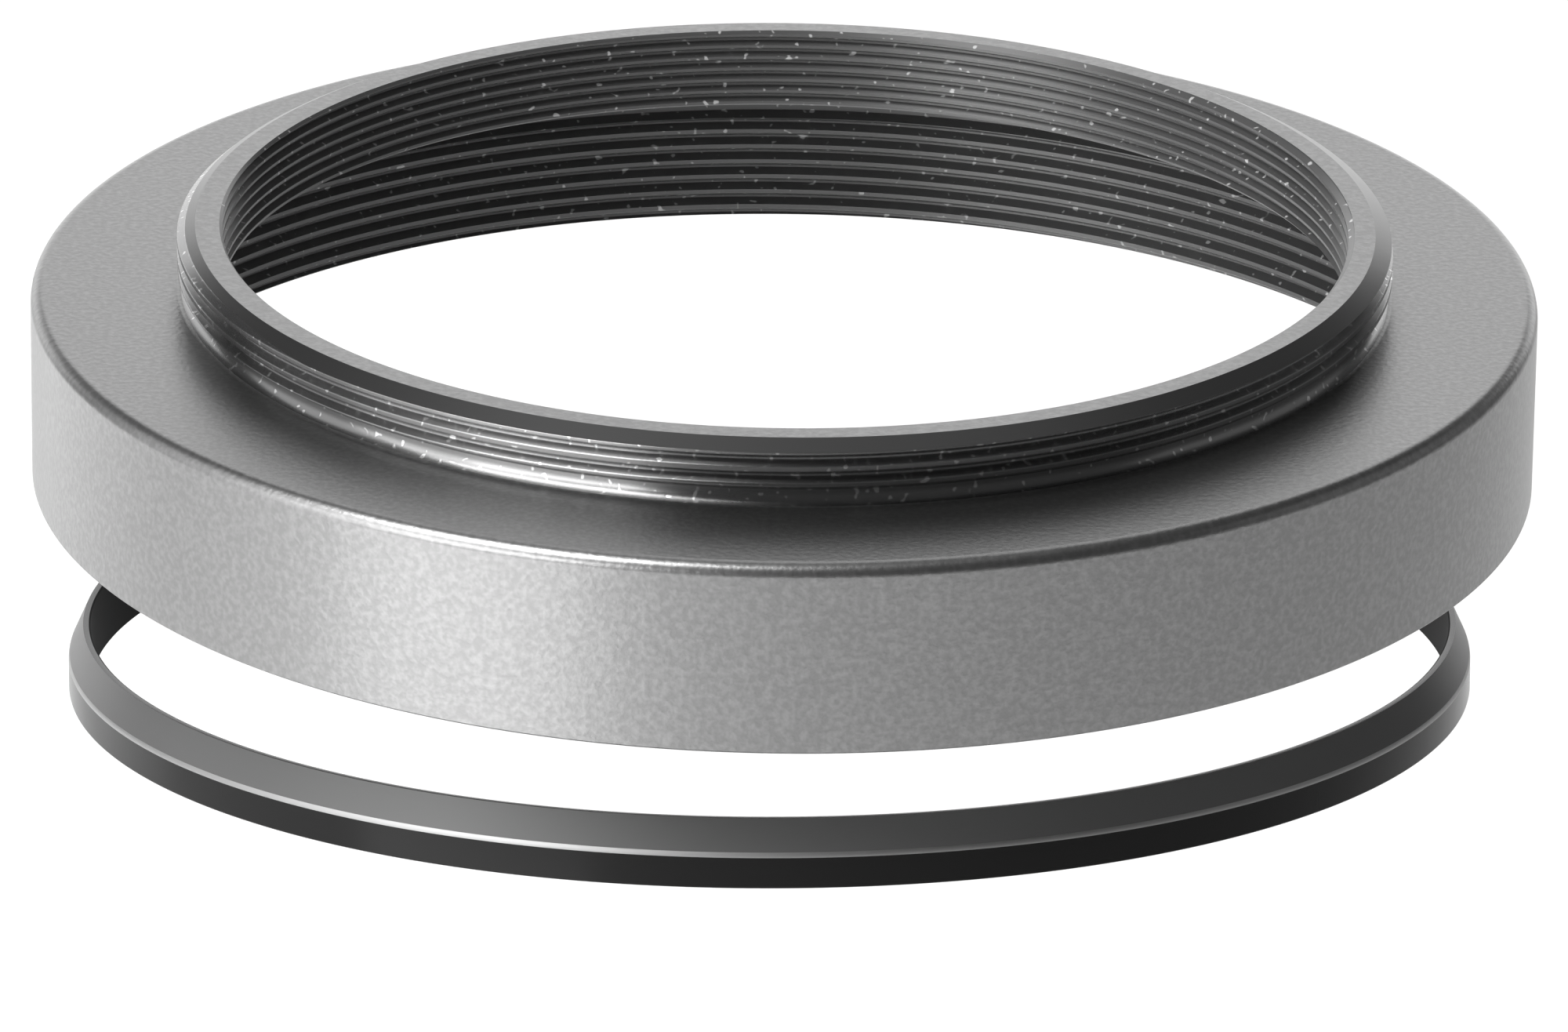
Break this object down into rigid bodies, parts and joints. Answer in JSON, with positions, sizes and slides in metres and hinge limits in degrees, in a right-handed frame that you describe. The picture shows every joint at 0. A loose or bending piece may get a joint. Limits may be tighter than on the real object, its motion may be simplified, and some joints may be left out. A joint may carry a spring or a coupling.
{
  "type": "telescope adapter ring",
  "caption": "Turned adapter ring with a fine male thread above its flange and a larger female thread below, with a thin bevelled spacer ring laid out under it.",
  "frame": {"origin": "on the optical axis, in the plane of the flange face round the collar", "axes": "+Z along the optical axis, out of the male thread; -Y towards the viewer of the picture, +X to the right"},
  "size_m": [0.067, 0.067, 0.0251],
  "materials": {
    "grey_anodised": "bead blasted, anodised titanium grey",
    "black_anodised": "fine turned, anodised satin black"
  },
  "bodies": {
    "root": {"adapter_ring": "grey_anodised", "spacer_ring": "black_anodised"}
  },
  "joints": []
}
